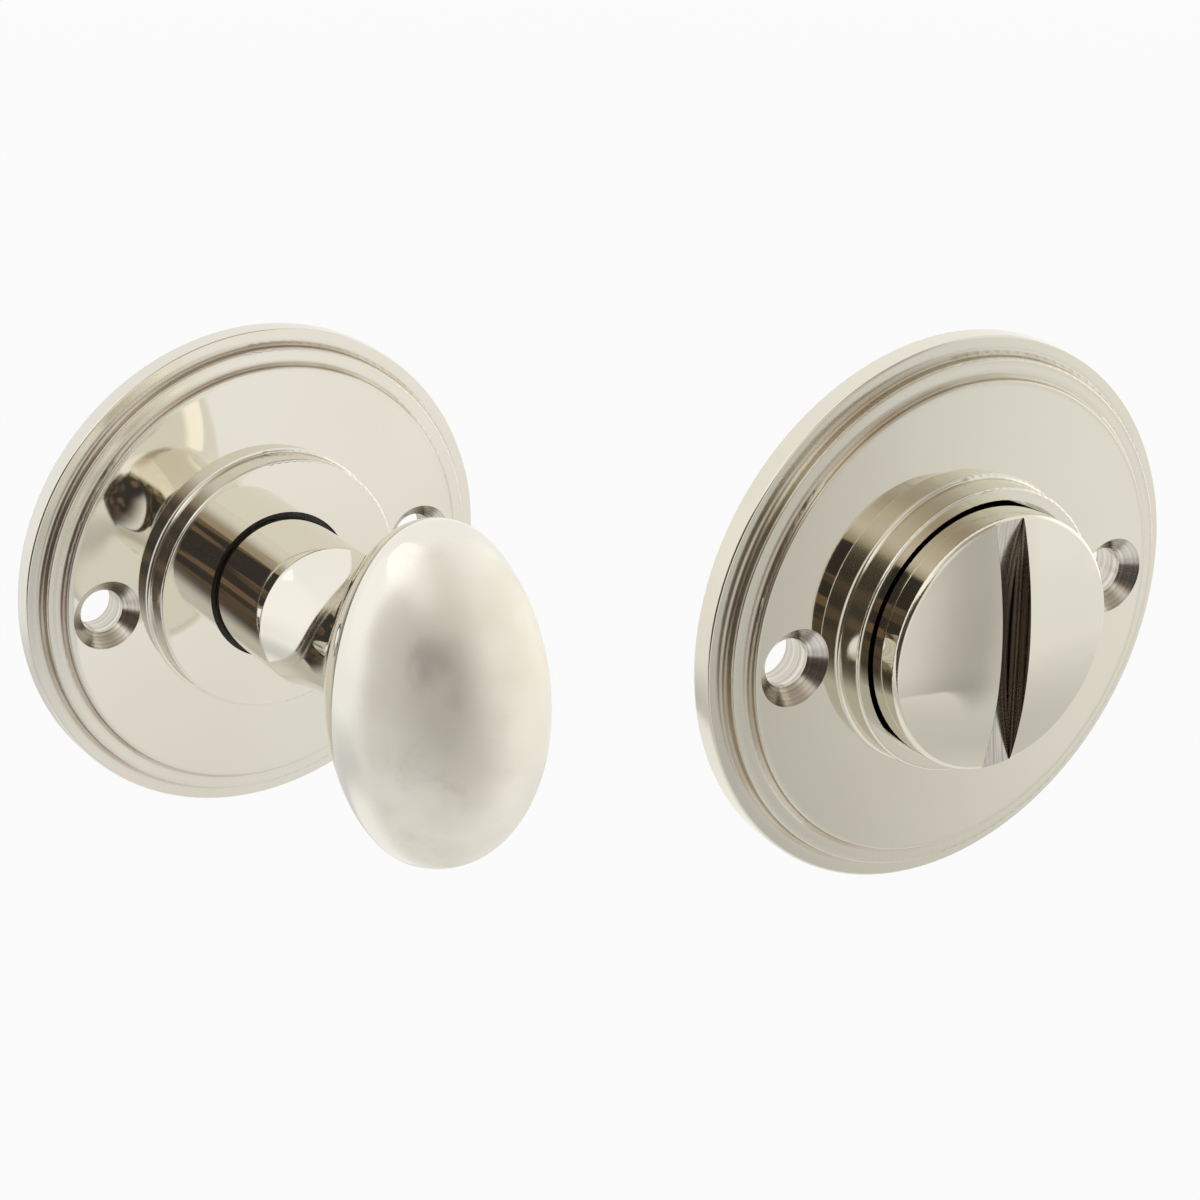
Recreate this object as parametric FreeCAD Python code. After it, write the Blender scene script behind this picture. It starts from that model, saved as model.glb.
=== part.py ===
import FreeCAD, Part
import math
import os

# Bathroom lock in two halves: a thumb turn with an oval knob, and a release with a coin slot.
# Millimetres. The origin is the centre of the turn rose's back face, +Z is up and the fronts face -Y.
# Heights are measured forward from the back face of a rose.

# Where the release half stands: to the right of the turn half, nearer to the viewer and a little higher
release_x = 32.0
release_y = -68.0
release_z = 13.0

# Stepped rose, the same for both halves
rose_radius = 25.0
rim_height = 2.2
rim_ledge = 1.65
step_rise = 1.2
step_ledge = 1.7
face_rise = 0.85
step_edge_round = 0.22
step_cove = 0.5
back_edge_round = 0.3
rim_wall = 2.6
face_wall = 2.2
pocket_depth = 3.2

# Countersunk screw holes on a level line
screw_spacing = 35.0
screw_hole_radius = 2.2
countersink_radius = 3.5
screw_post_radius = 5.2

# Bosses, both as wide as the wall round the release button needs
boss_rise = 2.65
boss_wall = 1.12
boss_edge_round = 0.25
boss_foot_round = 0.4
release_bore_depth = 1.9

# Shank, neck and oval of the turn
shank_radius = 7.2
shank_front = 16.2
shank_mouth_gap = 0.3
shank_edge_round = 0.15
neck_radius = 6.05
neck_waist = 23.0
neck_end_radius = 7.0
neck_blend = 1.6
oval_width = 20.8
oval_height = 34.8
oval_edge = 37.5
oval_back_depth = 10.2
oval_front_depth = 12.4
oval_edge_set = 4.0
oval_edge_round = 0.45
turn_journal_radius = 6.4
journal_end = 0.2

# Release button
button_radius = 11.6
button_gap = 0.28
button_rim = 10.2
button_dome_rise = 1.8
button_edge_round = 0.55
slot_width = 3.1
slot_depth = 2.7
release_journal_radius = 5.5
release_tail = 10.0
release_socket_depth = 12.0

# Square spindle and the pin that holds it
spindle_side = 5.0
spindle_reach = 28.0
spindle_chamfer = 0.6
turn_socket_depth = 9.8
pin_radius = 1.0
pin_height = 4.5
pin_inset = 0.2

# Bushes, washers and circlips behind each rose
bush_set_back = 0.6
bush_wall = 1.15
bush_flange_radius = 10.0
bush_flange = 0.7
washer_radius = 9.6
washer_thickness = 0.4
spring_thickness = 0.3
spring_rise = 0.25
clip_thickness = 0.8
clip_width = 2.4
groove_depth = 0.6
clip_gap = 3.0
clip_lug_radius = 1.3
clip_hole_radius = 0.6

# Clearances: running fits, seats that do not move, and free play along the axis
running_clearance = 0.05
seat_clearance = 0.03
axial_play = 0.05
washer_bore_clearance = 0.2
pocket_clearance = 1.0

# Sizes that follow from those above
step_radius = rose_radius - rim_ledge
face_radius = step_radius - step_ledge
step_height = rim_height + step_rise
face_height = step_height + face_rise
boss_height = face_height + boss_rise
release_bore_radius = button_radius + button_gap
release_bore_floor = boss_height - release_bore_depth
boss_radius = release_bore_radius + boss_wall
pocket_radius = bush_flange_radius + pocket_clearance

turn_centre = FreeCAD.Vector(0, 0, 0)
release_centre = FreeCAD.Vector(release_x, release_y, release_z)
axis_y = FreeCAD.Vector(0, 1, 0)
forward = FreeCAD.Vector(0, -1, 0)
sideways = FreeCAD.Vector(1, 0, 0)


def point(radius, height):
    return FreeCAD.Vector(radius, -height, 0)


def outline(corners):
    """Straight edges through the given radius and height pairs."""
    return [Part.LineSegment(point(*a), point(*b)).toShape() for a, b in zip(corners, corners[1:])]


def arc(start, middle, end):
    return Part.Arc(point(*start), point(*middle), point(*end)).toShape()


def turned(edges):
    """Solid of revolution about the Y axis from the closed half outline made by the edges."""
    face = Part.Face(Part.Wire(edges))
    return face.revolve(turn_centre, axis_y, 360)


def disc(radius, low, high):
    return Part.makeCylinder(radius, high - low, point(0, low), forward)


def ring(inner, outer, low, high):
    return disc(outer, low, high).cut(disc(inner, low, high))


def square_bar(side, low, high):
    corner = FreeCAD.Vector(-side / 2, -high, -side / 2)
    return Part.makeBox(side, high - low, side, corner)


def circles_at(solid, radius, height):
    """Round edges of the solid about the Y axis with this radius, at this height."""
    found = []
    for edge in solid.Edges:
        if edge.Degenerated or not isinstance(edge.Curve, Part.Circle):
            continue
        curve = edge.Curve
        centre = curve.Center
        on_axis = math.hypot(centre.x, centre.z) < 1e-6
        if on_axis and abs(curve.Radius - radius) < 1e-6 and abs(centre.y + height) < 1e-6:
            found.append(edge)
    return found


def rounded(solid, size, places):
    """Rounds the round edges at the given radius and height pairs."""
    edges = [edge for place in places for edge in circles_at(solid, *place)]
    return solid.makeFillet(size, edges)


def save(name, solid, centre):
    placed = solid.copy()
    placed.translate(centre)
    placed.exportStep("parts/%s.step" % name)


# Heights of the stack behind each rose, from the pocket floor to the back
flange_back = pocket_depth - bush_flange
washer_back = flange_back - washer_thickness
spring_front = washer_back - axial_play
spring_back = spring_front - spring_thickness - spring_rise
clip_front = spring_back
clip_back = clip_front - clip_thickness


def rose(bore_radius, bore_floor, web_radius):
    """Stepped rose with its boss, bored from the front to a web that has a hole for the bush."""
    edges = outline([
        (0, 0), (rose_radius, 0), (rose_radius, rim_height), (step_radius, rim_height),
        (step_radius, step_height), (face_radius, step_height), (face_radius, face_height),
        (boss_radius, face_height), (boss_radius, boss_height), (0, boss_height), (0, 0)])
    body = turned(edges)
    body = rounded(body, step_cove, [(step_radius, rim_height), (face_radius, step_height)])
    body = rounded(body, step_edge_round, [
        (rose_radius, rim_height), (step_radius, step_height), (face_radius, face_height)])
    body = rounded(body, boss_foot_round, [(boss_radius, face_height)])
    body = rounded(body, boss_edge_round, [(boss_radius, boss_height)])
    body = rounded(body, back_edge_round, [(rose_radius, 0)])

    hollow = disc(rose_radius - rim_wall, 0, face_height - face_wall)
    for side in (-1, 1):
        post = disc(screw_post_radius, 0, face_height)
        post.translate(FreeCAD.Vector(side * screw_spacing / 2, 0, 0))
        hollow = hollow.cut(post)
    body = body.cut(hollow)
    body = body.cut(disc(pocket_radius, 0, pocket_depth))
    body = body.cut(disc(bore_radius, bore_floor, boss_height))
    body = body.cut(disc(web_radius, 0, boss_height))

    for side in (-1, 1):
        drill = disc(screw_hole_radius, 0, face_height)
        depth = countersink_radius - screw_hole_radius
        sink = Part.makeCone(screw_hole_radius, countersink_radius, depth,
                             point(0, face_height - depth), forward)
        drill = drill.fuse(sink)
        drill.translate(FreeCAD.Vector(side * screw_spacing / 2, 0, 0))
        body = body.cut(drill)
    return body


def oval_arc(half_width, depth, centre_height, start, end):
    """Quarter-ellipse edge of an oval's half outline, between two angles of its ellipse."""
    circle = Part.Circle(turn_centre, FreeCAD.Vector(0, 0, 1), 1)
    stretch = FreeCAD.Matrix()
    stretch.scale(half_width, depth, 1)
    edge = Part.ArcOfCircle(circle, start, end).toShape().transformGeometry(stretch)
    edge.translate(point(0, centre_height))
    return edge


def oval():
    """Oval knob: turned as a round knob, then stretched upright. Dome and back meet at a crisp edge."""
    half_width = oval_width / 2
    # The dome's ellipse is centred behind the edge, so the dome leaves the edge at an angle.
    dome_depth = oval_front_depth + oval_edge_set
    edge_angle = math.asin(oval_edge_set / dome_depth)
    dome_half_width = half_width / math.cos(edge_angle)
    dome = oval_arc(dome_half_width, dome_depth, oval_edge - oval_edge_set, -math.pi / 2, -edge_angle)
    back = oval_arc(half_width, oval_back_depth, oval_edge, 0, math.pi / 2)
    core = outline([(0, oval_edge - oval_back_depth), (0, oval_edge + oval_front_depth)])
    round_knob = turned([dome, back] + core)
    upright = FreeCAD.Matrix()
    upright.scale(1, 1, oval_height / oval_width)
    return round_knob.transformGeometry(upright)


def long_edges_between(solid, low, high):
    """Edges that go right round the axis between two heights."""
    found = []
    for edge in solid.Edges:
        if edge.Degenerated:
            continue
        box = edge.BoundBox
        if box.YMin > -high and box.YMax < -low and box.XMin < 0 < box.XMax:
            found.append(edge)
    return found


def oval_turn():
    """Oval, waisted neck, shank and journal in one piece, bored for the spindle and its pin."""
    oval_back = oval_edge - oval_back_depth
    neck_end = oval_edge - oval_back_depth / 2
    shoulder = boss_height - bush_set_back + axial_play
    edges = outline([
        (0, neck_end), (0, journal_end), (turn_journal_radius, journal_end),
        (turn_journal_radius, shoulder), (shank_radius, shoulder), (shank_radius, shank_front)])
    edges.append(arc((shank_radius, shank_front), (neck_radius, neck_waist), (neck_end_radius, neck_end)))
    edges += outline([(neck_end_radius, neck_end), (0, neck_end)])
    body = turned(edges).fuse(oval())
    body = body.makeFillet(neck_blend, long_edges_between(body, oval_back, neck_end))
    crease = long_edges_between(body, oval_edge - oval_edge_round, oval_edge + oval_edge_round)
    body = body.makeFillet(oval_edge_round, crease)
    body = rounded(body, shank_edge_round, [(shank_radius, shank_front)])

    body = body.cut(clip_groove(turn_journal_radius))
    socket_side = spindle_side + 2 * seat_clearance
    body = body.cut(square_bar(socket_side, journal_end, journal_end + turn_socket_depth))
    return body.cut(cross_pin(pin_radius + seat_clearance, 2 * turn_journal_radius))


def clip_groove(journal_radius):
    low = clip_back - seat_clearance
    high = clip_front + seat_clearance
    return ring(journal_radius - groove_depth, journal_radius + groove_depth, low, high)


def cross_pin(radius, length):
    start = FreeCAD.Vector(-length / 2, -pin_height, 0)
    return Part.makeCylinder(radius, length, start, sideways)


def spindle():
    bar = square_bar(spindle_side, -spindle_reach, journal_end + turn_socket_depth)
    ends = []
    for edge in bar.Edges:
        centre = edge.CenterOfMass
        if abs(centre.y - spindle_reach) < 1e-6:
            ends.append(edge)
    bar = bar.makeChamfer(spindle_chamfer, ends)
    return bar.cut(cross_pin(pin_radius + seat_clearance, 2 * turn_journal_radius))


def release_button():
    """Domed button on a hollow tail, with a coin slot whose curved floor runs out at the rim."""
    head_back = release_bore_floor + axial_play
    crown = button_rim + button_dome_rise
    tail_end = -release_tail
    dome_radius = (button_radius ** 2 + button_dome_rise ** 2) / (2 * button_dome_rise)
    half_way = button_radius / 2
    dome_half_way = crown - dome_radius + math.sqrt(dome_radius ** 2 - half_way ** 2)
    edges = outline([
        (0, crown), (0, tail_end), (release_journal_radius, tail_end), (release_journal_radius, head_back),
        (button_radius, head_back), (button_radius, button_rim)])
    edges.append(arc((button_radius, button_rim), (half_way, dome_half_way), (0, crown)))
    body = turned(edges)
    body = rounded(body, button_edge_round, [(button_radius, button_rim)])

    floor = crown - slot_depth
    floor_rise = button_rim - floor
    cutter_radius = (button_radius ** 2 + floor_rise ** 2) / (2 * floor_rise)
    cutter_start = FreeCAD.Vector(-slot_width / 2, -floor - cutter_radius, 0)
    body = body.cut(Part.makeCylinder(cutter_radius, slot_width, cutter_start, sideways))

    body = body.cut(clip_groove(release_journal_radius))
    socket_side = spindle_side + 2 * seat_clearance
    return body.cut(square_bar(socket_side, tail_end, tail_end + release_socket_depth))


def bush(journal_radius, front):
    """Flanged nylon bush, flange against the pocket floor."""
    bore = journal_radius + running_clearance
    sleeve = ring(bore, bore + bush_wall, flange_back, front)
    flange = ring(bore, bush_flange_radius, flange_back, pocket_depth)
    return sleeve.fuse(flange).removeSplitter()


def bush_seat(journal_radius):
    return journal_radius + running_clearance + bush_wall + seat_clearance


def washer(journal_radius):
    return ring(journal_radius + washer_bore_clearance, washer_radius, washer_back, flange_back)


def spring_washer(journal_radius):
    """Washer cut from sheet that is bent about the X axis, with its crest forward."""
    bend = (washer_radius ** 2 + spring_rise ** 2) / (2 * spring_rise)
    axis_start = FreeCAD.Vector(-washer_radius, bend - spring_front, 0)
    sheet = Part.makeCylinder(bend, 2 * washer_radius, axis_start, sideways)
    sheet = sheet.cut(Part.makeCylinder(bend - spring_thickness, 2 * washer_radius, axis_start, sideways))
    blank = ring(journal_radius + washer_bore_clearance, washer_radius, spring_back, spring_front)
    return blank.common(sheet)


def circlip(journal_radius):
    """External retaining ring, open at the top between two drilled lugs."""
    inner = journal_radius - groove_depth + seat_clearance
    outer = inner + clip_width
    body = disc(outer, clip_back, clip_front)
    lug_x = clip_gap / 2 + clip_lug_radius
    lug_z = math.sqrt(outer ** 2 - lug_x ** 2)
    for side in (-1, 1):
        lug = disc(clip_lug_radius, clip_back, clip_front)
        lug.translate(FreeCAD.Vector(side * lug_x, 0, lug_z))
        body = body.fuse(lug)
    body = body.cut(disc(inner, clip_back, clip_front))
    gap_corner = FreeCAD.Vector(-clip_gap / 2, -clip_front, 0)
    body = body.cut(Part.makeBox(clip_gap, clip_thickness, 2 * outer, gap_corner))
    for side in (-1, 1):
        hole = disc(clip_hole_radius, clip_back, clip_front)
        hole.translate(FreeCAD.Vector(side * lug_x, 0, lug_z))
        body = body.cut(hole)
    return body.removeSplitter()


os.makedirs("parts", exist_ok=True)

turn_bush_front = boss_height - bush_set_back
turn_bore_radius = shank_radius + shank_mouth_gap
turn_seat = bush_seat(turn_journal_radius)
save("turn_rose", rose(max(turn_bore_radius, turn_seat), turn_bush_front, turn_seat), turn_centre)
save("oval_turn", oval_turn(), turn_centre)
save("turn_spindle", spindle(), turn_centre)
save("spindle_pin", cross_pin(pin_radius, 2 * (turn_journal_radius - pin_inset)), turn_centre)
save("turn_bush", bush(turn_journal_radius, turn_bush_front), turn_centre)
save("turn_washer", washer(turn_journal_radius), turn_centre)
save("turn_spring_washer", spring_washer(turn_journal_radius), turn_centre)
save("turn_circlip", circlip(turn_journal_radius), turn_centre)

release_seat = bush_seat(release_journal_radius)
save("release_rose", rose(release_bore_radius, release_bore_floor, release_seat), release_centre)
save("release_button", release_button(), release_centre)
save("release_bush", bush(release_journal_radius, release_bore_floor), release_centre)
save("release_washer", washer(release_journal_radius), release_centre)
save("release_spring_washer", spring_washer(release_journal_radius), release_centre)
save("release_circlip", circlip(release_journal_radius), release_centre)
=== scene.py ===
"""Looks of the bathroom lock: polished nickel roses, oval turn and release button in a white studio."""

import math

import bmesh
import bpy
from mathutils import Matrix, Vector


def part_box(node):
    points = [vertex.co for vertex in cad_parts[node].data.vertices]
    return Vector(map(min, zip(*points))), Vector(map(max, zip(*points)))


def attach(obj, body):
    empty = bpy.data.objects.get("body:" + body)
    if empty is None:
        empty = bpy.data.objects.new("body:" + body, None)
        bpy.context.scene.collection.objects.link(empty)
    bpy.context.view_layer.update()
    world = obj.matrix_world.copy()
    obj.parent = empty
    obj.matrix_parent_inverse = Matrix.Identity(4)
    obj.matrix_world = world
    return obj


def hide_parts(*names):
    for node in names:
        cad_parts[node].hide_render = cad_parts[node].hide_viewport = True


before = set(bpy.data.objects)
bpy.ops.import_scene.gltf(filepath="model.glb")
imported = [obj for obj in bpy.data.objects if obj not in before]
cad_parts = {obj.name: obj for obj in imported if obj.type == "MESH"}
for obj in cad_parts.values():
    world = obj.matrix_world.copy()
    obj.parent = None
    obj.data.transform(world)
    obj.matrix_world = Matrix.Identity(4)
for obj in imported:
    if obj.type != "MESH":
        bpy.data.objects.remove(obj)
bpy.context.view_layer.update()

MM = 0.001

# Camera, taken from the ellipses of the two roses in the 1200 x 1200 photograph
IMAGE_PIXELS = 1200
CAMERA_AZIMUTH = math.radians(-33.35)
CAMERA_ELEVATION = math.radians(24.18)
CAMERA_DISTANCE = 0.300
FOCAL_PIXELS = 3094.0
SENSOR = 36.0
AIM = Vector((22.75, -30.0, 1.38)) * MM

# Studio: a pale floor, a soft lamp, a white card between the halves, and the soft
# panels and the dark room behind the camera, which only the metal mirrors
FLOOR_DROP = 0.32
FLOOR_SIZE = 9.0
FLOOR_SHADE = 0.10
FLOOR_SHADE_FADES = (0.8, 3.0)
FLOOR_COLOUR = (0.92, 0.92, 0.91, 1)
FLOOR_BAND = (0.26, 0.40, 0.82)
FLOOR_BAND_DIP = 0.31
DIFFUSE_LEVEL = 0.65
CARD_DEPTH = -0.054
CARD_X = (0.0, 0.085)
CARD_Z = (-0.110, 0.065)
CARD_LEVELS = (0.82, 1.02)
CARD_LEVELS_Z = (-0.085, 0.0)
LAMP = {"size": 1.40, "distance": 1.00, "azimuth": -80, "elevation": 52, "power": 0.95}
PANELS = {
    "left_panel": {"size": 1.70, "distance": 1.10, "azimuth": -116, "elevation": 27, "level": 1.06, "tint": 1.0},
    "right_panel": {"size": 1.40, "distance": 1.10, "azimuth": 90, "elevation": 4, "level": 1.42, "tint": 1.0},
    "ceiling_panel": {"size": 1.40, "distance": 1.10, "azimuth": -14, "elevation": 66, "level": 0.64, "tint": 0.80},
    "tan_panel": {"size": 0.95, "distance": 0.90, "azimuth": 28, "elevation": 57, "level": 0.46, "tint": 0.76},
}
PANEL_SOFT_FROM = 0.45
ROOM_RADIUS = 0.42
ROOM_AZIMUTHS = (math.radians(-106), math.radians(52))
ROOM_ELEVATIONS = (math.radians(-36), math.radians(50))
ROOM_SEGMENTS = 32
ROOM_BLOCKS = 12.0
ROOM_BLACK = (0.010, 0.007, 0.005)
ROOM_BROWN = (0.17, 0.105, 0.058)
ROOM_PLAIN = (0.030, 0.023, 0.016)
ROOM_TAN = (0.42, 0.36, 0.27)

# Finish of the nickel plate, with the painted shade of its corners, countersinks and coin slot
NICKEL = (0.775, 0.745, 0.665)
NICKEL_WARM = (0.745, 0.705, 0.610)
TURN_TONES = (NICKEL, NICKEL_WARM)
OVAL_TONES = ((0.850, 0.822, 0.735), (0.825, 0.788, 0.688))
RELEASE_TONES = ((0.765, 0.737, 0.635), (0.740, 0.702, 0.590))
# Dimmer nickel for the countersinks and the coin slot: tool marks, and painted shade in these hollows
CUT_AND_SHADED_NICKEL = (0.50, 0.465, 0.40)
# Dark brown bands of painted shade on the coin slot's walls
SLOT_WALL_SHADE_DARK = (0.085, 0.066, 0.048)
SLOT_WALL_SHADE_LIGHT = (0.42, 0.37, 0.30)
MACHINED_LIGHT = (0.61, 0.575, 0.50)
MACHINED_DARK = (0.50, 0.468, 0.40)
# Brown painted shade for the corners of the rose's steps
CORNER_SHADE_BROWN = (0.36, 0.285, 0.19)
SMUDGE_TONE = (0.60, 0.575, 0.50)
OVAL_SMUDGE = 0.34
POLISH_ROUGHNESS = 0.03
HAZE_ROUGHNESS = 0.09
RIM_ROUGHNESS = 0.09
CORNER_ROUGHNESS = 0.31
COUNTERSINK_ROUGHNESS = 0.20
SLOT_ROUGHNESS = 0.17
MACHINED_ROUGHNESS = 0.30
BOSS_ROUGHNESS = 0.12
FACE_LINES = 0.06
RIM_LINES = 0.45
OVAL_LINES = 0.05
BUTTON_LINES = 0.04

# Places on the pieces that have a finish or painted shade of their own
STEP_RADIUS = 23.35 * MM
FACE_RADIUS = 21.65 * MM
BOSS_RADIUS = 13.0 * MM
FACE_HEIGHT = 4.25 * MM
HOLLOW_RADIUS = 22.45 * MM
HOLLOW_DEPTH = 2.15 * MM
POCKET_DEPTH = 3.3 * MM
POCKET_RADIUS = 12.0 * MM
SCREW_OFFSET = 17.5 * MM
COUNTERSINK_RADIUS = 3.52 * MM
SLOT_HALF_WIDTH = 1.57 * MM
SLOT_FROM = 5.2 * MM
BUTTON_INNER_RADIUS = 11.40 * MM
OVAL_SOFT_FROM = 37.7 * MM
OVAL_SOFT_TO = 42.0 * MM
OVAL_ROUGHNESS = (0.43, 0.68)
OVAL_CLOUDS = 130.0


def middle(name):
    """Middle of a turned piece's back face, on its axis."""
    low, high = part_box(name)
    return Vector(((low.x + high.x) / 2, high.y, (low.z + high.z) / 2))


TURN_CENTRE = middle("turn_rose")
RELEASE_CENTRE = middle("release_rose")


def direction(azimuth, elevation):
    """Unit vector from the object towards a place in the studio; azimuth 0 is straight in front."""
    flat = math.cos(elevation)
    return Vector((math.sin(azimuth) * flat, -math.cos(azimuth) * flat, math.sin(elevation)))


def aim_at(obj, spot, target):
    obj.location = spot
    obj.rotation_euler = (spot - target).to_track_quat("Z", "Y").to_euler()


def link(obj):
    bpy.context.scene.collection.objects.link(obj)
    return obj


# Small helpers for node trees

def node(tree, kind, inputs=None, **settings):
    """Adds a shader node; inputs are values or sockets by input name or number."""
    made = tree.nodes.new(kind)
    for name, value in settings.items():
        setattr(made, name, value)
    for name, value in (inputs or {}).items():
        if isinstance(value, bpy.types.NodeSocket):
            tree.links.new(value, made.inputs[name])
        else:
            made.inputs[name].default_value = value
    return made


def maths(tree, operation, a, b=0.0):
    return node(tree, "ShaderNodeMath", {0: a, 1: b}, operation=operation).outputs[0]


def length_of(tree, a, b):
    return maths(tree, "SQRT", maths(tree, "ADD", maths(tree, "MULTIPLY", a, a), maths(tree, "MULTIPLY", b, b)))


def ramp(tree, value, low, high, start=0.0, end=1.0):
    """Smooth step of a value from low to high."""
    made = node(tree, "ShaderNodeMapRange", {
        "Value": value, "From Min": low, "From Max": high, "To Min": start, "To Max": end},
        interpolation_type="SMOOTHSTEP")
    return made.outputs["Result"]


def ramp_degrees(tree, angle, low, high, start=0.0, end=1.0):
    """Smooth step of an angle, whose limits are given in degrees."""
    return ramp(tree, angle, math.radians(low), math.radians(high), start, end)


def stretched(tree, x, y, z, scales):
    """Place on a piece with each axis scaled by itself, for marks that run one way."""
    scaled = [maths(tree, "MULTIPLY", value, scale) for value, scale in zip((x, y, z), scales)]
    return node(tree, "ShaderNodeCombineXYZ", dict(enumerate(scaled))).outputs[0]


def mix_colour(tree, factor, a, b):
    made = node(tree, "ShaderNodeMix", {"Factor": factor}, data_type="RGBA")
    for socket, colour in ((6, a), (7, b)):
        if isinstance(colour, bpy.types.NodeSocket):
            tree.links.new(colour, made.inputs[socket])
        else:
            made.inputs[socket].default_value = (*colour, 1)
    return made.outputs[2]


def mix_value(tree, factor, a, b):
    made = node(tree, "ShaderNodeMix", {"Factor": factor}, data_type="FLOAT")
    for socket, value in ((2, a), (3, b)):
        if isinstance(value, bpy.types.NodeSocket):
            tree.links.new(value, made.inputs[socket])
        else:
            made.inputs[socket].default_value = value
    return made.outputs[0]


def new_material(name):
    material = bpy.data.materials.new(name)
    material.use_nodes = True
    material.node_tree.nodes.clear()
    return material, material.node_tree


def new_group(name, inputs, outputs):
    """Shader node group with float or vector inputs, given with their defaults, and float outputs."""
    group = bpy.data.node_groups.new(name, "ShaderNodeTree")
    for title, default in inputs.items():
        kind = "NodeSocketVector" if isinstance(default, tuple) else "NodeSocketFloat"
        socket = group.interface.new_socket(title, in_out="INPUT", socket_type=kind)
        socket.default_value = default
    for title in outputs:
        group.interface.new_socket(title, in_out="OUTPUT", socket_type="NodeSocketFloat")
    return group, group.nodes.new("NodeGroupInput"), group.nodes.new("NodeGroupOutput")


def place(tree, group, **inputs):
    made = tree.nodes.new("ShaderNodeGroup")
    made.node_tree = group
    for title, value in inputs.items():
        made.inputs[title.replace("_", " ")].default_value = value
    return made


# Effects that several finishes share

def turning_lines_group():
    """Fine rings left by turning and buffing, round an axis that points forward."""
    group, given, result = new_group(
        "turning_lines", {"Centre": (0.0, 0.0, 0.0), "Lines per metre": 3000.0}, ["Lines"])
    place_on_piece = node(group, "ShaderNodeTexCoord").outputs["Object"]
    offset = node(group, "ShaderNodeVectorMath", {
        0: place_on_piece, 1: given.outputs["Centre"]}, operation="SUBTRACT")
    parts = node(group, "ShaderNodeSeparateXYZ", {0: offset.outputs[0]})
    radius = length_of(group, parts.outputs["X"], parts.outputs["Z"])
    along = maths(group, "ADD", radius, maths(group, "MULTIPLY", parts.outputs["Y"], 0.8))
    count = maths(group, "MULTIPLY", along, given.outputs["Lines per metre"])
    noise = node(group, "ShaderNodeTexNoise", {"W": count, "Scale": 1.0, "Detail": 4.0, "Roughness": 0.7},
                 noise_dimensions="1D")
    group.links.new(noise.outputs[0], result.inputs["Lines"])
    return group


def handling_haze_group():
    """Soft smears and dull spots from handling, and the slight unevenness of the plate's tone."""
    group, given, result = new_group("handling_haze", {"Smear size": 0.012}, ["Haze", "Tone"])
    place_on_piece = node(group, "ShaderNodeTexCoord").outputs["Object"]
    scale = maths(group, "DIVIDE", 1.0, given.outputs["Smear size"])
    smears = node(group, "ShaderNodeTexNoise", {
        "Vector": place_on_piece, "Scale": scale, "Detail": 5.0, "Roughness": 0.6, "Distortion": 0.8})
    fine = node(group, "ShaderNodeTexNoise", {
        "Vector": place_on_piece, "Scale": maths(group, "MULTIPLY", scale, 5.0), "Detail": 2.0})
    smear = ramp(group, smears.outputs[0], 0.52, 0.78)
    haze = maths(group, "MULTIPLY", smear, ramp(group, fine.outputs[0], 0.3, 0.7, 0.5, 1.0))
    tone = node(group, "ShaderNodeTexNoise", {
        "Vector": place_on_piece, "Scale": maths(group, "MULTIPLY", scale, 0.4), "Detail": 2.0})
    group.links.new(haze, result.inputs["Haze"])
    group.links.new(ramp(group, tone.outputs[0], 0.3, 0.7), result.inputs["Tone"])
    return group


TURNING_LINES = turning_lines_group()
HANDLING_HAZE = handling_haze_group()


def finish_material(tree, colour, roughness, height, metallic=1.0, bump_distance=0.00001, bump_strength=0.1):
    bump = node(tree, "ShaderNodeBump", {
        "Height": height, "Distance": bump_distance, "Strength": bump_strength})
    shader = node(tree, "ShaderNodeBsdfPrincipled", {
        "Base Color": colour, "Roughness": roughness, "Metallic": metallic, "Normal": bump.outputs[0]})
    node(tree, "ShaderNodeOutputMaterial", {"Surface": shader.outputs["BSDF"]})
    return shader


def nickel_base(tree, centre, tones):
    """Colour, roughness and relief of polished nickel plate on a piece turned about this centre."""
    lines = place(tree, TURNING_LINES, Centre=centre, Lines_per_metre=2600.0).outputs["Lines"]
    haze = place(tree, HANDLING_HAZE, Smear_size=0.011)
    colour = mix_colour(tree, haze.outputs["Tone"], *tones)
    dull = mix_value(tree, haze.outputs["Haze"], POLISH_ROUGHNESS, HAZE_ROUGHNESS)
    roughness = maths(tree, "ADD", dull, maths(tree, "MULTIPLY", lines, 0.02))
    return colour, roughness, lines


def local_place(tree, centre):
    """Coordinates on the piece measured from this centre, as X, Y and Z."""
    place_on_piece = node(tree, "ShaderNodeTexCoord").outputs["Object"]
    offset = node(tree, "ShaderNodeVectorMath", {0: place_on_piece, 1: tuple(centre)}, operation="SUBTRACT")
    parts = node(tree, "ShaderNodeSeparateXYZ", {0: offset.outputs[0]})
    return parts.outputs["X"], parts.outputs["Y"], parts.outputs["Z"]


def band(tree, value, middle_of_band, half_width):
    """1 in the middle of a narrow band of a value, falling to 0 at its sides."""
    away = maths(tree, "ABSOLUTE", maths(tree, "SUBTRACT", value, middle_of_band))
    return ramp(tree, away, 0.3 * half_width, half_width, 1.0, 0.0)


def machined_back(tree, behind, centre, colour, roughness, relief):
    """Leaves the faces that lie towards the door as they were turned: duller, with plain tool rings."""
    rings = place(tree, TURNING_LINES, Centre=centre, Lines_per_metre=3800.0).outputs["Lines"]
    turned = mix_colour(tree, ramp(tree, rings, 0.32, 0.68), MACHINED_DARK, MACHINED_LIGHT)
    return (mix_colour(tree, behind, colour, turned), mix_value(tree, behind, roughness, MACHINED_ROUGHNESS),
            mix_value(tree, behind, relief, rings))


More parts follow.
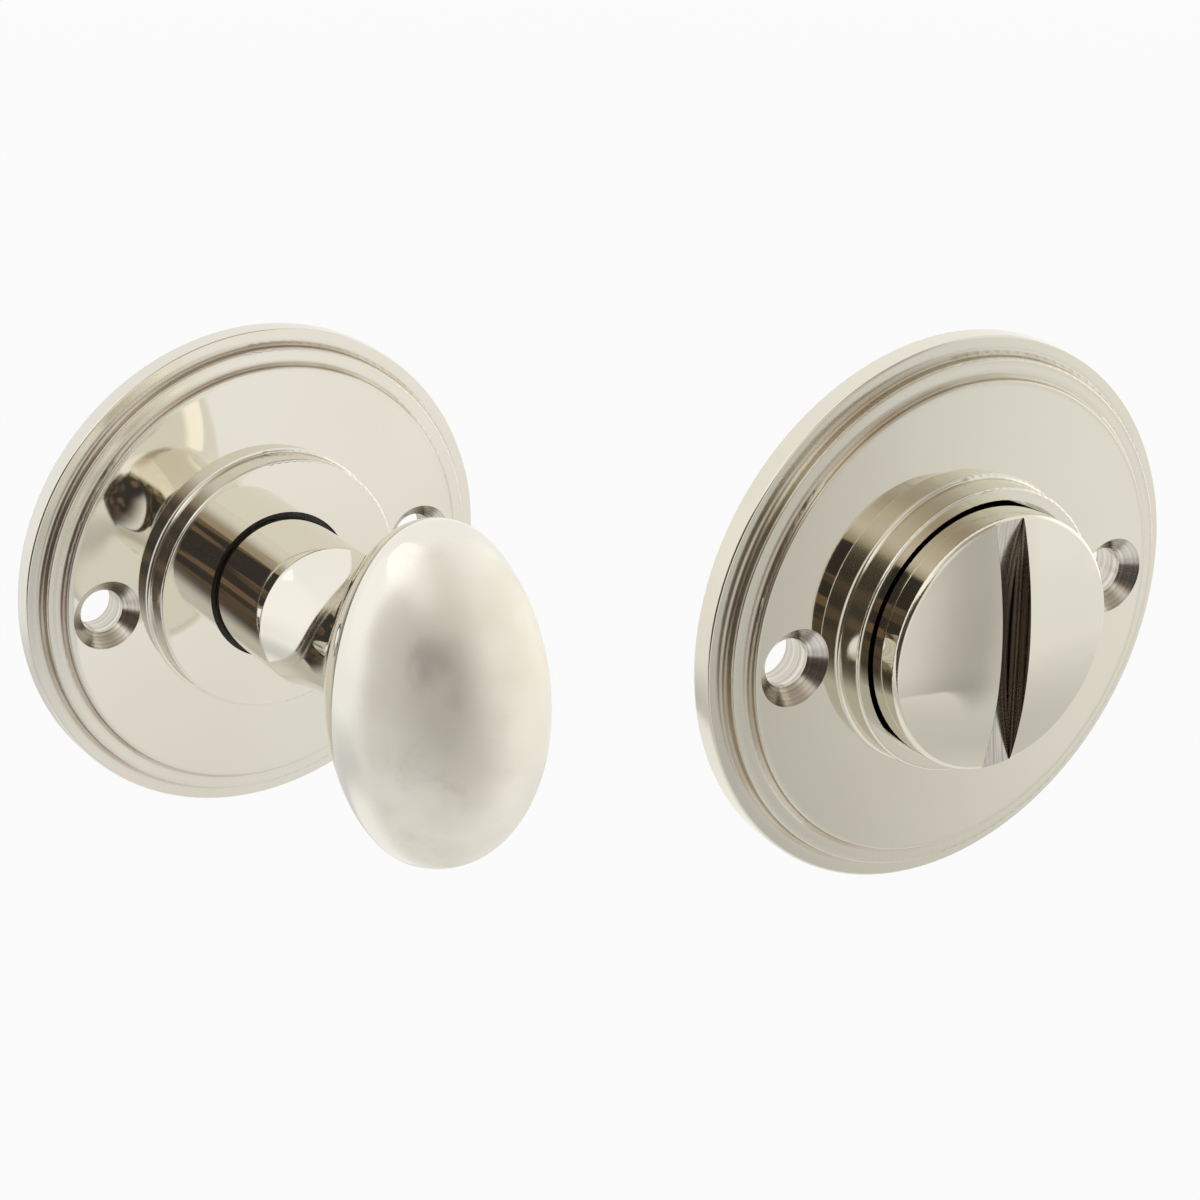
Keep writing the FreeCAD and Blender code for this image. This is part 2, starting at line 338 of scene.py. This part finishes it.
def rose_nickel(name, centre, tones):
    """Polished rose, soft on its steps, with painted shade: brown in their corners, darker in the turned
    countersinks.
    """
    material, tree = new_material(name)
    colour, roughness, lines = nickel_base(tree, centre, tones)
    x, y, z = local_place(tree, centre)
    radius = length_of(tree, x, z)

    on_rim = ramp(tree, radius, FACE_RADIUS - 0.5 * MM, FACE_RADIUS)
    on_boss = maths(tree, "MULTIPLY", band(tree, radius, BOSS_RADIUS, 0.7 * MM),
                    maths(tree, "GREATER_THAN", maths(tree, "MULTIPLY", y, -1.0), FACE_HEIGHT))
    soft = maths(tree, "ADD", maths(tree, "MULTIPLY", on_rim, RIM_ROUGHNESS),
                 maths(tree, "MULTIPLY", on_boss, BOSS_ROUGHNESS))
    roughness = maths(tree, "ADD", roughness, soft)

    # Patchy brown painted shade in the corners of the steps
    corners = maths(tree, "MAXIMUM", band(tree, radius, STEP_RADIUS + 0.15 * MM, 0.38 * MM),
                    band(tree, radius, FACE_RADIUS + 0.15 * MM, 0.38 * MM))
    patches = node(tree, "ShaderNodeTexNoise", {
        "Vector": node(tree, "ShaderNodeTexCoord").outputs["Object"], "Scale": 110.0, "Detail": 4.0}).outputs[0]
    painted_corner_shade = maths(tree, "MULTIPLY", corners, ramp(tree, patches, 0.36, 0.72, 0.42, 0.74))
    colour = mix_colour(tree, painted_corner_shade, colour, CORNER_SHADE_BROWN)
    dulled = maths(tree, "MAXIMUM", band(tree, radius, STEP_RADIUS + 0.1 * MM, 0.85 * MM),
                   band(tree, radius, FACE_RADIUS + 0.1 * MM, 0.85 * MM))
    roughness = mix_value(tree, dulled, roughness, CORNER_ROUGHNESS)

    across = maths(tree, "SUBTRACT", maths(tree, "ABSOLUTE", x), SCREW_OFFSET)
    hole_radius = length_of(tree, across, z)
    in_hole = maths(tree, "LESS_THAN", hole_radius, COUNTERSINK_RADIUS)
    rings = node(tree, "ShaderNodeTexNoise", {
        "W": maths(tree, "MULTIPLY", maths(tree, "ADD", hole_radius, maths(tree, "MULTIPLY", y, 0.3)), 5200.0),
        "Scale": 1.0, "Detail": 3.0, "Roughness": 0.6}, noise_dimensions="1D").outputs[0]
    # Turning rings in the countersinks, on a darker tone that is painted shade
    cut_marks_and_shade = mix_colour(tree, ramp(tree, rings, 0.3, 0.75), CUT_AND_SHADED_NICKEL, NICKEL)
    colour = mix_colour(tree, in_hole, colour, cut_marks_and_shade)
    roughness = mix_value(tree, in_hole, roughness, COUNTERSINK_ROUGHNESS)
    buffed = maths(tree, "MULTIPLY", lines, mix_value(tree, on_rim, FACE_LINES, RIM_LINES))
    relief = mix_value(tree, in_hole, buffed, rings)

    depth = maths(tree, "MULTIPLY", y, -1.0)
    hollow = maths(tree, "MULTIPLY", maths(tree, "LESS_THAN", radius, HOLLOW_RADIUS),
                   maths(tree, "LESS_THAN", depth, HOLLOW_DEPTH))
    pocket = maths(tree, "MULTIPLY", maths(tree, "LESS_THAN", radius, POCKET_RADIUS),
                   maths(tree, "LESS_THAN", depth, POCKET_DEPTH))
    back_rim = maths(tree, "LESS_THAN", depth, 0.02 * MM)
    behind = maths(tree, "MAXIMUM", maths(tree, "MAXIMUM", hollow, pocket), back_rim)
    behind = maths(tree, "MULTIPLY", behind, maths(tree, "SUBTRACT", 1.0, in_hole))
    finish_material(tree, *machined_back(tree, behind, centre, colour, roughness, relief))
    return material


def oval_nickel(name, centre, tones):
    """Polished shank and neck; the oval's dome is buffed softer and unevenly, and a little smudged."""
    material, tree = new_material(name)
    colour, roughness, lines = nickel_base(tree, centre, tones)
    y = local_place(tree, centre)[1]
    dome = ramp(tree, maths(tree, "MULTIPLY", y, -1.0), OVAL_SOFT_FROM, OVAL_SOFT_TO)
    clouds = node(tree, "ShaderNodeTexNoise", {
        "Vector": node(tree, "ShaderNodeTexCoord").outputs["Object"], "Scale": OVAL_CLOUDS, "Detail": 3.0}).outputs[0]
    uneven = ramp(tree, clouds, 0.30, 0.70, *OVAL_ROUGHNESS)
    roughness = mix_value(tree, dome, roughness, maths(tree, "ADD", roughness, uneven))
    smudges = place(tree, HANDLING_HAZE, Smear_size=0.0055).outputs["Haze"]
    smudged = maths(tree, "MULTIPLY", maths(tree, "MULTIPLY", smudges, dome), OVAL_SMUDGE)
    colour = mix_colour(tree, smudged, colour, SMUDGE_TONE)
    behind = maths(tree, "GREATER_THAN", y, -POCKET_DEPTH)
    relief = maths(tree, "MULTIPLY", lines, OVAL_LINES)
    finish_material(tree, *machined_back(tree, behind, centre, colour, roughness, relief))
    return material


def button_nickel(name, centre, tones):
    """Polished button; the coin slot keeps its cutter's long marks, with painted shade: darker floor, dark brown
    walls.
    """
    material, tree = new_material(name)
    colour, roughness, lines = nickel_base(tree, centre, tones)
    x, y, z = local_place(tree, centre)
    in_slot = maths(tree, "LESS_THAN", maths(tree, "ABSOLUTE", x), SLOT_HALF_WIDTH)
    front = maths(tree, "LESS_THAN", y, -SLOT_FROM)
    inside = maths(tree, "LESS_THAN", length_of(tree, x, z), BUTTON_INNER_RADIUS)
    in_slot = maths(tree, "MULTIPLY", in_slot, maths(tree, "MULTIPLY", front, inside))
    # The slot's floor: the cutter's marks, on a darker tone that is painted shade
    along_slot = stretched(tree, x, y, z, (4200.0, 900.0, 90.0))
    marks = node(tree, "ShaderNodeTexNoise", {"Vector": along_slot, "Scale": 1.0, "Detail": 3.0}).outputs[0]
    cut_marks_and_shade = mix_colour(tree, ramp(tree, marks, 0.3, 0.7), CUT_AND_SHADED_NICKEL, NICKEL)
    # Dark brown bands of painted shade on the slot's walls
    on_wall = maths(tree, "GREATER_THAN", maths(tree, "ABSOLUTE", x), SLOT_HALF_WIDTH - 0.12 * MM)
    wall_shade_bands = node(tree, "ShaderNodeTexNoise", {
        "W": maths(tree, "MULTIPLY", y, 2400.0), "Scale": 1.0, "Detail": 3.0, "Roughness": 0.6},
        noise_dimensions="1D").outputs[0]
    painted_wall_shade = mix_colour(tree, ramp(tree, wall_shade_bands, 0.38, 0.66), SLOT_WALL_SHADE_DARK, SLOT_WALL_SHADE_LIGHT)
    cut_marks_and_shade = mix_colour(tree, on_wall, cut_marks_and_shade, painted_wall_shade)
    colour = mix_colour(tree, in_slot, colour, cut_marks_and_shade)
    roughness = mix_value(tree, in_slot, roughness, SLOT_ROUGHNESS)
    relief = mix_value(tree, in_slot, maths(tree, "MULTIPLY", lines, BUTTON_LINES), marks)
    behind = maths(tree, "GREATER_THAN", y, -POCKET_DEPTH)
    finish_material(tree, *machined_back(tree, behind, centre, colour, roughness, relief))
    return material


def drawn_steel(name, light, dark, roughness_from, roughness_to):
    """Steel with marks along the depth of the lock, as drawn bar and stamped sheet have."""
    material, tree = new_material(name)
    x, y, z = local_place(tree, (0, 0, 0))
    drawn = stretched(tree, x, y, z, (3500.0, 160.0, 3500.0))
    marks = node(tree, "ShaderNodeTexNoise", {"Vector": drawn, "Scale": 1.0, "Detail": 4.0}).outputs[0]
    haze = place(tree, HANDLING_HAZE, Smear_size=0.006)
    colour = mix_colour(tree, haze.outputs["Tone"], light, dark)
    roughness = ramp(tree, marks, 0.25, 0.75, roughness_from, roughness_to)
    finish_material(tree, colour, roughness, marks, bump_strength=0.15)
    return material


def black_nylon():
    material, tree = new_material("black_nylon")
    haze = place(tree, HANDLING_HAZE, Smear_size=0.004)
    grain = node(tree, "ShaderNodeTexNoise", {
        "Vector": node(tree, "ShaderNodeTexCoord").outputs["Object"], "Scale": 3000.0, "Detail": 2.0}).outputs[0]
    colour = mix_colour(tree, haze.outputs["Tone"], (0.020, 0.018, 0.016), (0.034, 0.030, 0.026))
    roughness = ramp(tree, grain, 0.3, 0.7, 0.36, 0.52)
    finish_material(tree, colour, roughness, grain, metallic=0.0, bump_strength=0.2)
    return material


def dress_nodes():
    zinc = drawn_steel("zinc_steel", (0.62, 0.63, 0.64), (0.50, 0.51, 0.50), 0.22, 0.40)
    spring = drawn_steel("spring_steel", (0.16, 0.15, 0.145), (0.09, 0.08, 0.075), 0.30, 0.48)
    nylon = black_nylon()
    finishes = {
        "turn_rose": rose_nickel("turn_rose_nickel", TURN_CENTRE, TURN_TONES),
        "release_rose": rose_nickel("release_rose_nickel", RELEASE_CENTRE, RELEASE_TONES),
        "oval_turn": OVAL_FINISH,
        "release_button": button_nickel("release_button_nickel", RELEASE_CENTRE, RELEASE_TONES),
        "turn_bush": nylon, "release_bush": nylon,
        "turn_washer": zinc, "release_washer": zinc, "turn_spindle": zinc,
        "turn_spring_washer": spring, "release_spring_washer": spring,
        "turn_circlip": spring, "release_circlip": spring, "spindle_pin": spring,
    }
    for name, material in finishes.items():
        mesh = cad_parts[name].data
        mesh.materials.clear()
        mesh.materials.append(material)


# The oval turn, built as rings along its axis: dome, crisp edge, back, neck, shank and journal

OVAL_TURN_SIZES = {
    "Oval width": 20.8 * MM, "Oval height": 34.8 * MM, "Edge depth": 37.5 * MM, "Edge round": 0.40 * MM,
    "Dome depth": 12.4 * MM, "Dome set back": 4.0 * MM, "Back depth": 10.2 * MM,
    "Neck waist": 6.005 * MM, "Neck waist depth": 24.66 * MM, "Neck curve": 30.56 * MM, "Neck end": 26.8 * MM,
    "Shank radius": 7.2 * MM, "Shank front": 16.2 * MM, "Shank edge": 0.15 * MM, "Shoulder": 6.35 * MM,
    "Journal radius": 6.4 * MM, "Journal end": 0.2 * MM,
    "Groove depth": 0.6 * MM, "Groove back": 0.67 * MM, "Groove front": 1.53 * MM,
}
OVAL_TURN_SIDES = 192
OVAL_BACK_STOP = 0.68
BLEND_PULL = 0.25
NECK_PULL = 1.5 * MM
WELD_DISTANCE = 0.002 * MM


def ring_grid(tree, sides, stations, rings):
    """Grid bent into rings; rings(s) gives half width, half height and depth as s goes from 0 to 1."""
    grid = node(tree, "GeometryNodeMeshGrid", {
        "Size X": 1.0, "Size Y": 1.0, "Vertices X": stations, "Vertices Y": sides})
    flat = node(tree, "ShaderNodeSeparateXYZ", {0: node(tree, "GeometryNodeInputPosition").outputs[0]})
    along = maths(tree, "ADD", flat.outputs["X"], 0.5)
    turn = maths(tree, "MULTIPLY", flat.outputs["Y"], 2 * math.pi)
    half_width, half_height, depth = rings(along)
    bent = node(tree, "ShaderNodeCombineXYZ", {
        0: maths(tree, "MULTIPLY", half_width, maths(tree, "COSINE", turn)),
        1: maths(tree, "MULTIPLY", depth, -1.0),
        2: maths(tree, "MULTIPLY", half_height, maths(tree, "SINE", turn))})
    moved = node(tree, "GeometryNodeSetPosition", {
        "Geometry": grid.outputs["Mesh"], "Position": bent.outputs[0]})
    return moved.outputs[0]


def curve_through(tree, s, points):
    """Bezier curve of three or four values, each a number or a socket."""
    while len(points) > 1:
        points = [mix_value(tree, s, a, b) for a, b in zip(points, points[1:])]
    return points[0]


def oval_turn_tree():
    tree = bpy.data.node_groups.new("oval_turn_rings", "GeometryNodeTree")
    tree.interface.new_socket("Sides", in_out="INPUT", socket_type="NodeSocketInt")
    for title in OVAL_TURN_SIZES:
        tree.interface.new_socket(title, in_out="INPUT", socket_type="NodeSocketFloat")
    tree.interface.new_socket("Finish", in_out="INPUT", socket_type="NodeSocketMaterial")
    tree.interface.new_socket("Geometry", in_out="OUTPUT", socket_type="NodeSocketGeometry")
    given = tree.nodes.new("NodeGroupInput").outputs
    sides = given["Sides"]

    def half(title):
        return maths(tree, "MULTIPLY", given[title], 0.5)

    def minus(a, b):
        return maths(tree, "SUBTRACT", a, b)

    def plus(a, b):
        return maths(tree, "ADD", a, b)

    def times(a, b):
        return maths(tree, "MULTIPLY", a, b)

    def over(a, b):
        return maths(tree, "DIVIDE", a, b)

    half_width = half("Oval width")
    half_height = half("Oval height")
    dome_full = plus(given["Dome depth"], given["Dome set back"])
    edge_angle = maths(tree, "ARCSINE", over(given["Dome set back"], dome_full))
    dome_start = plus(edge_angle, over(given["Edge round"], dome_full))
    back_start = over(given["Edge round"], given["Back depth"])

    def on_dome(angle):
        share = over(maths(tree, "COSINE", angle), maths(tree, "COSINE", edge_angle))
        rise = times(dome_full, maths(tree, "SINE", angle))
        depth = plus(minus(given["Edge depth"], given["Dome set back"]), rise)
        return times(half_width, share), times(half_height, share), depth

    def on_back(angle):
        share = maths(tree, "COSINE", angle)
        depth = minus(given["Edge depth"], times(given["Back depth"], maths(tree, "SINE", angle)))
        return times(half_width, share), times(half_height, share), depth

    def on_neck(depth):
        offset = minus(depth, given["Neck waist depth"])
        inside = minus(times(given["Neck curve"], given["Neck curve"]), times(offset, offset))
        radius = plus(given["Neck waist"], minus(given["Neck curve"], maths(tree, "SQRT", inside)))
        return radius, radius, depth

    def dome(s):
        return on_dome(mix_value(tree, s, math.pi / 2, dome_start))

    def edge(s):
        first = on_dome(dome_start)
        last = on_back(back_start)
        tip = (half_width, half_height, given["Edge depth"])
        return [curve_through(tree, s, points) for points in zip(first, tip, last)]

    def back(s):
        return on_back(mix_value(tree, s, back_start, OVAL_BACK_STOP))

    def blend(s):
        first = on_back(OVAL_BACK_STOP)
        inward = BLEND_PULL * math.sin(OVAL_BACK_STOP)
        second = (minus(first[0], times(half_width, inward)),
                  minus(first[1], times(half_height, inward)),
                  minus(first[2], times(given["Back depth"], BLEND_PULL * math.cos(OVAL_BACK_STOP))))
        last = on_neck(given["Neck end"])
        third = on_neck(plus(given["Neck end"], NECK_PULL))
        return [curve_through(tree, s, points) for points in zip(first, second, third, last)]

    def neck(s):
        return on_neck(mix_value(tree, s, given["Neck end"], given["Shank front"]))

    def between(start, end):
        """Straight run between two places, each a radius and a depth."""
        def run(s):
            radius = mix_value(tree, s, start[0], end[0])
            return radius, radius, mix_value(tree, s, start[1], end[1])
        return run

    shank = given["Shank radius"]
    journal = given["Journal radius"]
    groove = minus(journal, given["Groove depth"])
    neck_foot = on_neck(given["Shank front"])[0]
    corners = [
        (neck_foot, given["Shank front"]),
        (shank, minus(given["Shank front"], given["Shank edge"])),
        (shank, given["Shoulder"]), (journal, given["Shoulder"]),
        (journal, given["Groove front"]), (groove, given["Groove front"]),
        (groove, given["Groove back"]), (journal, given["Groove back"]),
        (journal, given["Journal end"]), (0.0, given["Journal end"])]
    sections = [ring_grid(tree, sides, stations, rings) for stations, rings in (
        (72, dome), (9, edge), (28, back), (24, blend), (28, neck))]
    sections += [ring_grid(tree, sides, 2, between(a, b)) for a, b in zip(corners, corners[1:])]
    joined = tree.nodes.new("GeometryNodeJoinGeometry")
    for section in sections:
        tree.links.new(section, joined.inputs[0])
    closed = node(tree, "GeometryNodeMergeByDistance", {"Geometry": joined.outputs[0], "Distance": WELD_DISTANCE})
    real = node(tree, "GeometryNodeRealizeInstances", {"Geometry": closed.outputs[0]})
    finished = node(tree, "GeometryNodeSetMaterial", {"Geometry": real.outputs[0], "Material": given["Finish"]})
    out = tree.nodes.new("NodeGroupOutput")
    tree.links.new(finished.outputs[0], out.inputs["Geometry"])
    return tree


def oval_turn(finish):
    """The turn as one smooth piece, in place of its solid."""
    source = link(bpy.data.objects.new("oval_turn_source", bpy.data.meshes.new("oval_turn_source")))
    modifier = source.modifiers.new("rings", "NODES")
    modifier.node_group = oval_turn_tree()
    values = {**OVAL_TURN_SIZES, "Sides": OVAL_TURN_SIDES + 1, "Finish": finish}
    for socket in modifier.node_group.interface.items_tree:
        if socket.in_out == "INPUT":
            modifier[socket.identifier] = values[socket.name]
    evaluated = source.evaluated_get(bpy.context.evaluated_depsgraph_get())
    mesh = bpy.data.meshes.new_from_object(evaluated)
    source.modifiers.clear()
    bpy.data.objects.remove(source)

    form = bmesh.new()
    form.from_mesh(mesh)
    bmesh.ops.remove_doubles(form, verts=form.verts, dist=WELD_DISTANCE)
    bmesh.ops.recalc_face_normals(form, faces=form.faces)
    form.to_mesh(mesh)
    form.free()
    mesh.shade_smooth()
    mesh.set_sharp_from_angle(angle=math.radians(38))
    piece = link(bpy.data.objects.new("oval_turn_polished", mesh))
    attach(piece, "turn")
    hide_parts("oval_turn")


# The studio

def seen_directly(tree):
    """1 on light paths that show the white background: to the camera, in mirrors and through glass."""
    path = node(tree, "ShaderNodeLightPath")
    seen = maths(tree, "MAXIMUM", path.outputs["Is Camera Ray"], path.outputs["Is Glossy Ray"])
    return maths(tree, "MAXIMUM", seen, path.outputs["Is Transmission Ray"])


def white_world():
    world = bpy.data.worlds.new("white_studio")
    bpy.context.scene.world = world
    world.use_nodes = True
    tree = world.node_tree
    tree.nodes.clear()
    level = mix_value(tree, seen_directly(tree), DIFFUSE_LEVEL, 1.0)
    background = node(tree, "ShaderNodeBackground", {"Color": (1, 1, 1, 1), "Strength": level})
    node(tree, "ShaderNodeOutputWorld", {"Surface": background.outputs[0]})


def pale_floor():
    half = FLOOR_SIZE / 2
    mesh = bpy.data.meshes.new("floor")
    corners = [(-half, -half, 0), (half, -half, 0), (half, half, 0), (-half, half, 0)]
    mesh.from_pydata(corners, [], [(0, 1, 2, 3)])
    mesh.transform(Matrix.Translation((0, 0, -FLOOR_DROP)))
    floor = link(bpy.data.objects.new("floor", mesh))
    material, tree = new_material("pale_floor")
    matt = node(tree, "ShaderNodeBsdfDiffuse", {"Color": FLOOR_COLOUR})
    x, y = local_place(tree, (0, 0, 0))[:2]
    reach = length_of(tree, x, y)
    # A ring of painted shade on the floor, which only the metal mirrors; to the camera the floor stays evenly white
    start, darkest, end = FLOOR_BAND
    shade = maths(tree, "MULTIPLY", ramp(tree, reach, start, darkest), ramp(tree, reach, darkest, end, 1.0, 0.0))
    mirrored = maths(tree, "SUBTRACT", 1.0, maths(tree, "MULTIPLY", shade, FLOOR_BAND_DIP))
    level = mix_value(tree, node(tree, "ShaderNodeLightPath").outputs["Is Camera Ray"], mirrored, 1.0)
    glow = node(tree, "ShaderNodeEmission", {"Color": (1, 1, 1, 1), "Strength": level})
    shaded = ramp(tree, reach, *FLOOR_SHADE_FADES, FLOOR_SHADE, 0.0)
    share = maths(tree, "MULTIPLY", seen_directly(tree), maths(tree, "SUBTRACT", 1.0, shaded))
    mixed = node(tree, "ShaderNodeMixShader", {0: share, 1: matt.outputs[0], 2: glow.outputs[0]})
    node(tree, "ShaderNodeOutputMaterial", {"Surface": mixed.outputs[0]})
    mesh.materials.append(material)


def dark_room():
    """Curved backdrop behind the camera, dark with brown blocks, tan above, fading out to the right."""
    columns = []
    for k in range(ROOM_SEGMENTS + 1):
        azimuth = ROOM_AZIMUTHS[0] + (ROOM_AZIMUTHS[1] - ROOM_AZIMUTHS[0]) * k / ROOM_SEGMENTS
        flat = direction(azimuth, 0.0) * ROOM_RADIUS
        columns.append([flat + Vector((0, 0, ROOM_RADIUS * math.tan(tilt))) for tilt in ROOM_ELEVATIONS])
    points = [point + AIM for column in columns for point in column]
    faces = [(2 * k, 2 * k + 2, 2 * k + 3, 2 * k + 1) for k in range(ROOM_SEGMENTS)]
    mesh = bpy.data.meshes.new("dark_room")
    mesh.from_pydata(points, [], faces)
    room = link(bpy.data.objects.new("dark_room", mesh))
    material, tree = new_material("dark_room")
    x, y, z = local_place(tree, AIM)
    azimuth = maths(tree, "ARCTAN2", x, maths(tree, "MULTIPLY", y, -1.0))
    height = maths(tree, "ARCTANGENT", maths(tree, "DIVIDE", z, ROOM_RADIUS))
    spread = node(tree, "ShaderNodeCombineXYZ", {0: azimuth, 1: maths(tree, "MULTIPLY", height, 0.8)}).outputs[0]
    blocks = node(tree, "ShaderNodeTexVoronoi", {"Vector": spread, "Scale": ROOM_BLOCKS, "Randomness": 0.9},
                  voronoi_dimensions="2D", distance="CHEBYCHEV")
    pick = node(tree, "ShaderNodeSeparateColor", {0: blocks.outputs["Color"]})
    brown = mix_colour(tree, ramp(tree, pick.outputs[0], 0.60, 0.90), ROOM_BLACK, ROOM_BROWN)
    furnished = maths(tree, "MULTIPLY", ramp_degrees(tree, height, -30, -8),
                      ramp_degrees(tree, azimuth, -22, -10, 1.0, 0.0))
    dark = mix_colour(tree, furnished, ROOM_PLAIN, brown)
    edge = maths(tree, "ADD", height, maths(tree, "MULTIPLY", pick.outputs[1], 0.16))
    tan = mix_colour(tree, ramp_degrees(tree, edge, 33, 35), dark, ROOM_TAN)
    shader = node(tree, "ShaderNodeEmission", {"Color": tan})

    # How much of the room shows: dark on the left, a faint shade on the right, clear above and below
    wider = ramp_degrees(tree, height, 2, 20, 0.0, math.radians(13))
    near = ramp_degrees(tree, maths(tree, "SUBTRACT", azimuth, wider), -35, -19, 0.88, 0.0)
    rise = ramp_degrees(tree, azimuth, 0, 24, 0.08, 0.47)
    fall = ramp_degrees(tree, azimuth, 26, 44, 1.0, 0.0)
    right = maths(tree, "ADD", near, maths(tree, "MULTIPLY", rise, fall))
    left = ramp_degrees(tree, azimuth, -101, -85)
    top = ramp_degrees(tree, height, 31, 40, 1.0, 0.0)
    climb = maths(tree, "ADD", height, maths(tree, "MULTIPLY", azimuth, 0.45))
    low = ramp_degrees(tree, climb, -47, -45)
    table = ramp_degrees(tree, azimuth, -24, -6, math.radians(-35), math.radians(-27))
    blur = ramp_degrees(tree, azimuth, 18, 32, math.radians(0.6), math.radians(9))
    low = maths(tree, "MULTIPLY", low, ramp(tree, height, maths(tree, "SUBTRACT", table, blur), table))
    cover = maths(tree, "MULTIPLY", maths(tree, "MULTIPLY", right, left), maths(tree, "MULTIPLY", top, low))
    clear = node(tree, "ShaderNodeBsdfTransparent")
    mixed = node(tree, "ShaderNodeMixShader", {0: cover, 1: clear.outputs[0], 2: shader.outputs[0]})
    node(tree, "ShaderNodeOutputMaterial", {"Surface": mixed.outputs[0]})
    mesh.materials.append(material)
    hide_from_lens(room)


def white_card():
    """Keeps the back of the release half out of the turn half's mirror finish."""
    corners = [(x, CARD_DEPTH, z) for x, z in (
        (CARD_X[0], CARD_Z[0]), (CARD_X[1], CARD_Z[0]), (CARD_X[1], CARD_Z[1]), (CARD_X[0], CARD_Z[1]))]
    mesh = bpy.data.meshes.new("white_card")
    mesh.from_pydata(corners, [], [(0, 1, 2, 3)])
    card = link(bpy.data.objects.new("white_card", mesh))
    material, tree = new_material("white_card")
    z = local_place(tree, (0, 0, 0))[2]
    level = ramp(tree, z, *CARD_LEVELS_Z, *CARD_LEVELS)
    glow = node(tree, "ShaderNodeEmission", {"Color": (1, 1, 0.99, 1), "Strength": level})
    node(tree, "ShaderNodeOutputMaterial", {"Surface": glow.outputs[0]})
    mesh.materials.append(material)
    hide_from_lens(card)


def towards(values):
    """Place in the studio given by azimuth, elevation and distance from the aim."""
    return AIM + direction(math.radians(values["azimuth"]), math.radians(values["elevation"])) * values["distance"]


def soft_lamp():
    data = bpy.data.lights.new("overhead_lamp", "AREA")
    data.shape = "DISK"
    data.size = LAMP["size"]
    data.energy = LAMP["power"]
    lamp = link(bpy.data.objects.new("overhead_lamp", data))
    aim_at(lamp, towards(LAMP), AIM)


def soft_panel(name, values):
    """Plain panel that only the metal mirrors, with a soft edge; a tint below 1 makes it warmer."""
    spot = towards(values)
    turn = (spot - AIM).to_track_quat("Z", "Y").to_matrix()
    half = values["size"] / 2
    square = ((-half, -half), (half, -half), (half, half), (-half, half))
    corners = [spot + turn @ Vector((x, y, 0)) for x, y in square]
    mesh = bpy.data.meshes.new(name)
    mesh.from_pydata(corners, [], [(0, 1, 2, 3)])
    panel = link(bpy.data.objects.new(name, mesh))
    material, tree = new_material(name)
    x, y, z = local_place(tree, spot)
    away = length_of(tree, length_of(tree, x, y), z)
    cover = ramp(tree, away, PANEL_SOFT_FROM * half, half, 1.0, 0.0)
    tint = values["tint"]
    glow = node(tree, "ShaderNodeEmission", {"Color": (1, (1 + tint) / 2, tint, 1), "Strength": values["level"]})
    clear = node(tree, "ShaderNodeBsdfTransparent")
    mixed = node(tree, "ShaderNodeMixShader", {0: cover, 1: clear.outputs[0], 2: glow.outputs[0]})
    node(tree, "ShaderNodeOutputMaterial", {"Surface": mixed.outputs[0]})
    mesh.materials.append(material)
    hide_from_lens(panel)


def hide_from_lens(card):
    """Leaves a card only where the metal mirrors it."""
    card.visible_camera = False
    card.visible_diffuse = False
    card.visible_shadow = False


def camera():
    data = bpy.data.cameras.new("camera")
    data.sensor_width = SENSOR
    data.lens = FOCAL_PIXELS * SENSOR / IMAGE_PIXELS
    obj = link(bpy.data.objects.new("camera", data))
    aim_at(obj, AIM + direction(CAMERA_AZIMUTH, CAMERA_ELEVATION) * CAMERA_DISTANCE, AIM)
    bpy.context.scene.camera = obj


OVAL_FINISH = oval_nickel("oval_turn_nickel", TURN_CENTRE, OVAL_TONES)
dress_nodes()
oval_turn(OVAL_FINISH)
white_world()
pale_floor()
dark_room()
white_card()
soft_lamp()
for title, values in PANELS.items():
    soft_panel(title, values)
camera()
bpy.context.scene.view_settings.view_transform = "Standard"
